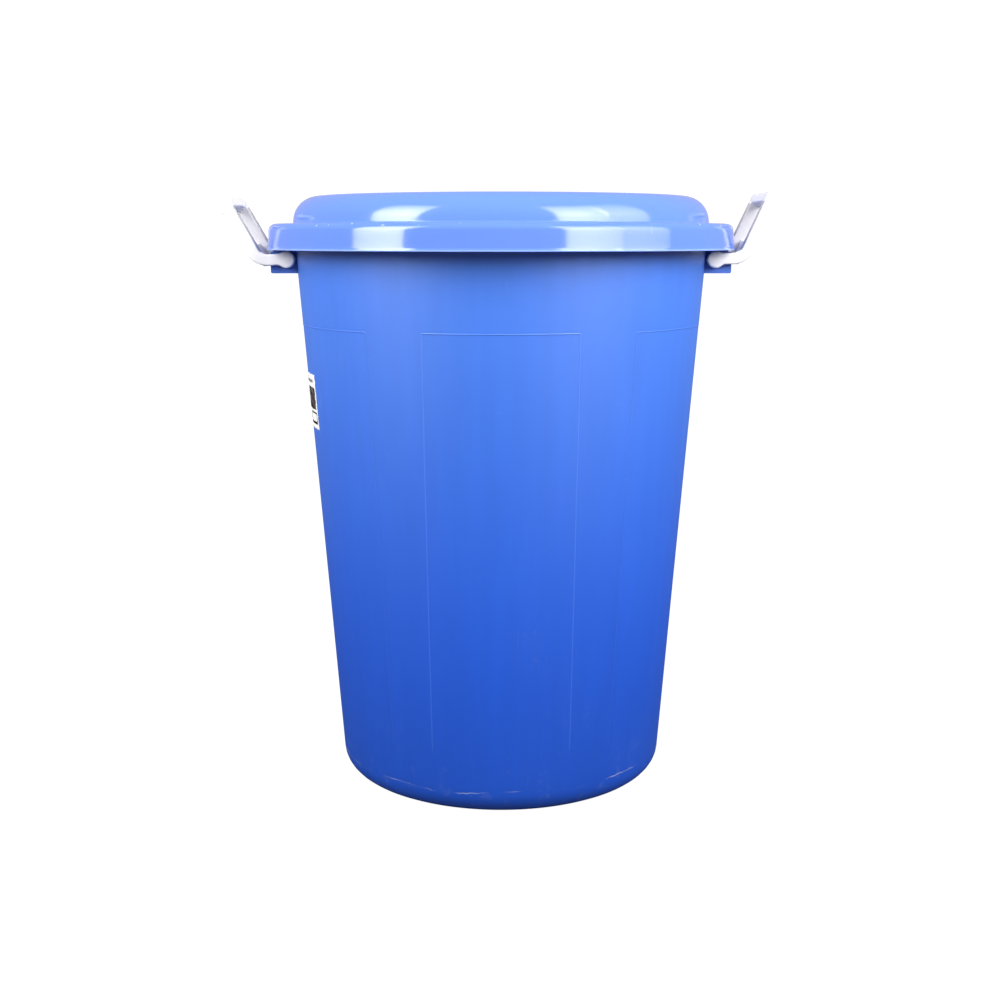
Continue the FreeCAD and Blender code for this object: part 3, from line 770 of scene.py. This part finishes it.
lid_low, lid_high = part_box("lid")
lid_radius = lid_high.x
lid_wall = 0.0026
skirt_edge = lid_low.z
skirt_top_radius = lid_radius - 0.0030
lid_border = rim_level + lid_wall
dome_foot = skirt_top_radius - 0.0288
dome_shoulder = dome_foot - 0.0017
shoulder_level = rim_level + 0.0349
dome_top = lid_high.z
skirt_corner = 0.0085
dome_corner = 0.0300
lid_profile = rounded_outline([
    (lid_radius - lid_wall, skirt_edge, 0.0006), (lid_radius, skirt_edge, 0.0005),
    (lid_radius, skirt_edge + 0.0012, 0.0007), (lid_radius - 0.0009, skirt_edge + 0.0038, 0.0007),
    (lid_radius - 0.0014, skirt_edge + 0.010, 0), (lid_radius - 0.0021, skirt_edge + 0.018, 0),
    (skirt_top_radius, lid_border, skirt_corner),
    ((skirt_top_radius + dome_foot) / 2, lid_border, 0),
    (dome_foot, lid_border, 0.0020),
    (dome_shoulder, shoulder_level, dome_corner),
    (0.16, shoulder_level + 0.0006, 0), (0.10, shoulder_level + 0.0013, 0),
    (0.05, dome_top - 0.0002, 0), (0.0, dome_top, 0),
    (0.0, dome_top - lid_wall, 0), (0.05, dome_top - 0.0002 - lid_wall, 0),
    (0.10, shoulder_level + 0.0013 - lid_wall, 0), (0.16, shoulder_level + 0.0006 - lid_wall, 0),
    (dome_shoulder - lid_wall, shoulder_level - lid_wall, dome_corner - lid_wall),
    (dome_foot - lid_wall, rim_level, 0.0010),
    (skirt_top_radius - lid_wall, rim_level, skirt_corner - lid_wall),
], closed=True)
lid_profile.append(lid_profile[0])
lid_plastic = make_lid_plastic()
lid = turn_profile("lid_shell", lid_profile, lid_plastic, 512)
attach(lid, "lid")
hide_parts("lid")


# ---------------------------------------------------------------------------------------
# Handles: one white moulding a side. Two cranked arms with round ends carry a grip bar
# and a web in their bend, and stub pins on the round ends snap into the ears.
handle_white = (0.84, 0.83, 0.85)
# Painted shade colour for the grip and upper arms.
upper_shade_grey = (0.70, 0.69, 0.70)
handle_grime = (0.52, 0.50, 0.50)
handle_mark = (0.40, 0.40, 0.44)
# Painted shade colour for the face turned to the lid and the arms' inner sides.
handle_painted_shade = (0.27, 0.25, 0.26)


def make_handle_plastic():
    """White plastic, a little satin, with faint grey handling marks, painted shade on the grip and
    upper arms, and painted shade on the face turned to the lid.
    """
    material, tree, shader, place = start_material("handle_plastic", 0.4)
    skin = add_group(tree, moulded_skin, vector=place, streaks=0.03, clouds=0.08, specks=0.25)
    scratches = add_group(tree, fine_scratches, vector=place, amount=0.35)
    grime = smooth_step(tree, noise_node(tree, place, 38.0, 4.0), 0.55, 0.80)
    # Painted shade: the grip and the arms next to it are mixed greyer than the round ends.
    axes = tree.nodes.new("ShaderNodeSeparateXYZ")
    tree.links.new(place, axes.inputs[0])
    upper_shade = smooth_step(tree, axes.outputs["Z"], pivot_z + 0.008, pivot_z + 0.055)
    base = mix_colour(tree, upper_shade, handle_white, upper_shade_grey)
    base = shaded(tree, base, skin["Shade"])
    base = mix_colour(tree, math_node(tree, "MULTIPLY", grime, 0.18), base, handle_grime)
    marks = math_node(tree, "MINIMUM", math_node(tree, "ADD", scratches["Mask"], skin["Speck"]), 1.0)
    base = mix_colour(tree, math_node(tree, "MULTIPLY", marks, 0.22), base, handle_mark)
    # Painted shade: the marked faces are mixed towards dark grey.
    rubbed = tree.nodes.new("ShaderNodeAttribute")
    rubbed.attribute_name = "rubbed"
    painted_light_amount = math_node(tree, "MULTIPLY", rubbed.outputs["Fac"], 0.75)
    base = mix_colour(tree, painted_light_amount, base, handle_painted_shade)
    tree.links.new(base, shader.inputs["Base Color"])
    grimy = math_node(tree, "MULTIPLY", grime, 0.15)
    rough = math_node(tree, "ADD", 0.36, math_node(tree, "ADD", skin["Gloss Change"], grimy))
    tree.links.new(rough, shader.inputs["Roughness"])
    add_bump(tree, shader, skin["Height"], 0.0002, 0.15)
    shader.inputs["Subsurface Weight"].default_value = 0.5
    shader.inputs["Subsurface Radius"].default_value = (1.0, 1.0, 1.0)
    shader.inputs["Subsurface Scale"].default_value = 0.005
    return material


arm_rise = radians(65.5)
arm_top = 0.0078
arm_underside = -0.0057
upper_depth = 0.0158
upper_length = 0.0795
boss_radius = 0.0102
arm_thickness = 0.0130
arm_inner_face = ear_spacing / 2 + ear_thickness + 0.0005
grip_height = 0.0120
window_length = 0.0470
web_thickness = 0.0050
web_start = 0.0290
heel_radius = 0.0295
bend_radius = 0.0130
tip_radius = 0.0045
pin_radius = 0.0050
pin_length = 0.0085
pin_root = 0.0040
bar_root = 0.0030
bend_x = lid_radius - pivot_x


def on_arm(length, depth):
    """Place on the rising part, from the inner corner: along it, and out from its inner face."""
    return (bend_x + length * cos(arm_rise) + depth * sin(arm_rise),
            arm_top + length * sin(arm_rise) - depth * cos(arm_rise))


def on_arm_at(level, depth):
    """Place where the face at a depth comes down to a level."""
    return on_arm((level - arm_top + depth * cos(arm_rise)) / sin(arm_rise), depth)


handle_plastic = make_handle_plastic()


def boss_arc(start, end, steps):
    """Points of an arm's round end, from one angle to another."""
    return [(boss_radius * cos(start + (end - start) * step / steps),
             boss_radius * sin(start + (end - start) * step / steps), 0) for step in range(steps + 1)]


neck_radius = 0.0060
neck_under = sqrt((boss_radius + neck_radius) ** 2 - (neck_radius - arm_underside) ** 2)
neck_over = sqrt((boss_radius + neck_radius) ** 2 - (neck_radius + arm_top) ** 2)
under_angle = atan2(arm_underside - neck_radius, neck_under)
over_angle = atan2(arm_top + neck_radius, neck_over)


def neck_arc(centre_x, centre_z, start, end, steps=6):
    """Points of the hollow between a round end and its arm."""
    return [(centre_x + neck_radius * cos(start + (end - start) * step / steps),
             centre_z + neck_radius * sin(start + (end - start) * step / steps), 0)
            for step in range(steps + 1)]


arm_corners = neck_arc(neck_under, arm_underside - neck_radius, under_angle + pi, pi / 2)
arm_corners += [
    on_arm_at(arm_underside, upper_depth) + (heel_radius,),
    on_arm(upper_length, upper_depth) + (tip_radius,),
    on_arm(upper_length, 0.0) + (tip_radius / 2,),
    (bend_x, arm_top, bend_radius),
]
arm_corners += neck_arc(neck_over, arm_top + neck_radius, -pi / 2, over_angle - pi)
arm_corners += boss_arc(over_angle, under_angle + 2 * pi, 40)[1:-1]
arm_outline = rounded_outline(arm_corners, closed=True)

web_line = rounded_outline([
    (web_start, arm_underside, 0), on_arm_at(arm_underside, upper_depth) + (heel_radius,),
    on_arm(upper_length - grip_height - window_length, upper_depth) + (0,),
    on_arm(upper_length - grip_height - window_length, upper_depth - web_thickness) + (0,),
    on_arm_at(arm_underside + web_thickness, upper_depth - web_thickness)
    + (heel_radius - web_thickness,),
    (web_start, arm_underside + web_thickness, 0),
])
grip_outline = rounded_outline([
    on_arm(upper_length - grip_height, 0.0) + (0.0025,),
    on_arm(upper_length - grip_height, upper_depth) + (0.0025,),
    on_arm(upper_length, upper_depth) + (tip_radius,),
    on_arm(upper_length, 0.0) + (tip_radius / 2,),
], closed=True)

for name, side, swing in (("right_handle", 1, 0.0), ("left_handle", -1, radians(5))):
    meshes = []
    for end in (1, -1):
        middle = end * (arm_inner_face + arm_thickness / 2)
        meshes.append(extrude_outline("arm", arm_outline, middle, arm_thickness, 0.0018))
        pin = ring_outline(0.0, 0.0, pin_radius)
        pin_middle = end * (arm_inner_face - pin_length / 2 + pin_root / 2)
        meshes.append(extrude_outline("pin", pin, pin_middle, pin_length + pin_root, 0.0006))
    inner_width = 2 * (arm_inner_face + bar_root)
    meshes.append(extrude_outline("web", web_line, 0.0, inner_width, 0.0004))
    meshes.append(extrude_outline("grip", grip_outline, 0.0, inner_width, 0.0004))
    handle = join_meshes(name + "_moulding", meshes)
    fuse = handle.modifiers.new("fuse", "REMESH")
    fuse.mode = "VOXEL"
    fuse.voxel_size = 0.00080
    soften = handle.modifiers.new("soften", "SMOOTH")
    soften.factor = 0.5
    soften.iterations = 3
    bpy.context.view_layer.update()
    evaluated = handle.evaluated_get(bpy.context.evaluated_depsgraph_get())
    fused = bpy.data.meshes.new_from_object(evaluated)
    bpy.data.objects.remove(handle)
    # Painted shade: the face turned to the lid is darkened grey, with a sharp end at the arm's edge;
    # the arms' faces turned to each other are darkened less.
    rubbed = fused.attributes.new("rubbed", "FLOAT", "POINT")
    for vertex in fused.vertices:
        x, y, z = vertex.co
        depth = (x - bend_x) * sin(arm_rise) - (z - arm_top) * cos(arm_rise)
        length = (x - bend_x) * cos(arm_rise) + (z - arm_top) * sin(arm_rise)
        if 0.004 < length < upper_length - grip_height - 0.001:
            inner_side_shade = 0.38 if abs(abs(y) - arm_inner_face) < 0.0009 else 0.0
            rubbed.data[vertex.index].value = max(inner_side_shade, min(1.0, (0.0017 - depth) / 0.0008))
        out = x * cos(swing) + z * sin(swing)
        up = z * cos(swing) - x * sin(swing)
        vertex.co = (side * (pivot_x + out), side * y, pivot_z + up)
    fused.polygons.foreach_set("use_smooth", [True] * len(fused.polygons))
    fused.materials.clear()
    fused.materials.append(handle_plastic)
    recalculate_normals(fused)
    handle = bpy.data.objects.new(name + "_moulding", fused)
    bpy.context.scene.collection.objects.link(handle)
    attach(handle, name)
    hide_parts("handle_" + name.split("_")[0])


# ---------------------------------------------------------------------------------------
# Label: a printed paper sticker pressed onto the left panel. The print is plain blocks, a
# bar pattern and a framed patch.
paper_white = (0.86, 0.86, 0.84)
print_ink = (0.022, 0.011, 0.014)


def make_label_paper():
    """White paper with dark printed blocks, placed by the sticker's own UV map."""
    material, tree, shader, place = start_material("label_paper", 0.05)
    uv = tree.nodes.new("ShaderNodeUVMap")
    uv.uv_map = "print"
    axes = tree.nodes.new("ShaderNodeSeparateXYZ")
    tree.links.new(uv.outputs[0], axes.inputs[0])
    across = axes.outputs["X"]
    up = axes.outputs["Y"]

    def block(left, right, low, high):
        sides = math_node(tree, "MULTIPLY", math_node(tree, "GREATER_THAN", across, left),
                          math_node(tree, "LESS_THAN", across, right))
        ends = math_node(tree, "MULTIPLY", math_node(tree, "GREATER_THAN", up, low),
                         math_node(tree, "LESS_THAN", up, high))
        return math_node(tree, "MULTIPLY", sides, ends)

    ink = block(0.05, 0.955, 0.36, 0.76)
    mottled = smooth_step(tree, noise_node(tree, uv.outputs[0], 9.0, 3.0), 0.42, 0.60)
    thinning = math_node(tree, "SUBTRACT", 1.0, math_node(tree, "MULTIPLY", mottled, 0.12))
    ink = math_node(tree, "MULTIPLY", ink, thinning)
    frame_line = math_node(tree, "SUBTRACT", block(0.60, 0.965, 0.09, 0.31),
                           block(0.625, 0.935, 0.14, 0.28))
    wave = math_node(tree, "SINE", math_node(tree, "MULTIPLY", across, 260.0))
    bars = math_node(tree, "GREATER_THAN", wave, 0.1)
    code = math_node(tree, "MULTIPLY", block(0.08, 0.52, 0.10, 0.30), bars)
    heading = math_node(tree, "MULTIPLY", block(0.10, 0.90, 0.84, 0.90), 0.75)
    printed = math_node(tree, "MAXIMUM", math_node(tree, "MAXIMUM", ink, frame_line),
                        math_node(tree, "MAXIMUM", code, heading))
    fibre = noise_node(tree, place, 420.0, 3.0)
    stain = noise_node(tree, place, 24.0, 3.0)
    uneven = math_node(tree, "MULTIPLY", math_node(tree, "ADD", fibre, stain), 0.10)
    base = shaded(tree, paper_white, math_node(tree, "ADD", 0.90, uneven))
    base = mix_colour(tree, printed, base, print_ink)
    tree.links.new(base, shader.inputs["Base Color"])
    tree.links.new(math_node(tree, "SUBTRACT", 0.75, math_node(tree, "MULTIPLY", printed, 0.10)),
                   shader.inputs["Roughness"])
    add_bump(tree, shader, fibre, 0.0001, 0.3)
    return material


label_low, label_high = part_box("product_label")
label_bottom = label_low.z
label_top = label_high.z
label_width = 0.106
label_middle = radians(189)
label_columns = 60
label_rows = 36
paper_thickness = 0.0003
paper_seat = 0.00015
paper_ripple = 0.00012
label_mesh = bpy.data.meshes.new("product_sticker")
work = bmesh.new()
print_map = work.loops.layers.uv.new("print")
half_angle = label_width / 2 / wall_radius((label_bottom + label_top) / 2)
sheets = []
for lift in (0.00005, paper_thickness):
    points = []
    for row in range(label_rows + 1):
        level = label_bottom + (label_top - label_bottom) * row / label_rows
        line = []
        for column in range(label_columns + 1):
            turn = label_middle + half_angle * (2 * column / label_columns - 1)
            wave = sin(9.0 * turn * row / label_rows + 2.0) if lift == paper_thickness else 0.0
            radius = wall_radius(level) - paper_seat + lift + paper_ripple * wave
            line.append(work.verts.new((radius * cos(turn), radius * sin(turn), level)))
        points.append(line)
    sheets.append(points)


def label_face(corners, places):
    """Face of the sticker with its place on the print."""
    face = work.faces.new(corners)
    face.smooth = True
    for loop, place in zip(face.loops, places):
        loop[print_map].uv = place


for points in sheets:
    for row in range(label_rows):
        for column in range(label_columns):
            cell = ((row, column), (row, column + 1), (row + 1, column + 1), (row + 1, column))
            label_face([points[r][c] for r, c in cell],
                       [(c / label_columns, r / label_rows) for r, c in cell])
rim = [(0, c) for c in range(label_columns)] + [(r, label_columns) for r in range(label_rows)]
rim += [(label_rows, c) for c in range(label_columns, 0, -1)]
rim += [(r, 0) for r in range(label_rows, 0, -1)]
for start, end in zip(rim, rim[1:] + rim[:1]):
    cell = [sheets[0][start[0]][start[1]], sheets[0][end[0]][end[1]],
            sheets[1][end[0]][end[1]], sheets[1][start[0]][start[1]]]
    label_face(cell, [(0.0, 0.0)] * 4)
bmesh.ops.recalc_face_normals(work, faces=work.faces)
work.to_mesh(label_mesh)
work.free()
label_mesh.materials.append(make_label_paper())
label = bpy.data.objects.new("product_sticker", label_mesh)
bpy.context.scene.collection.objects.link(label)
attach(label, "drum")
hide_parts("product_label")
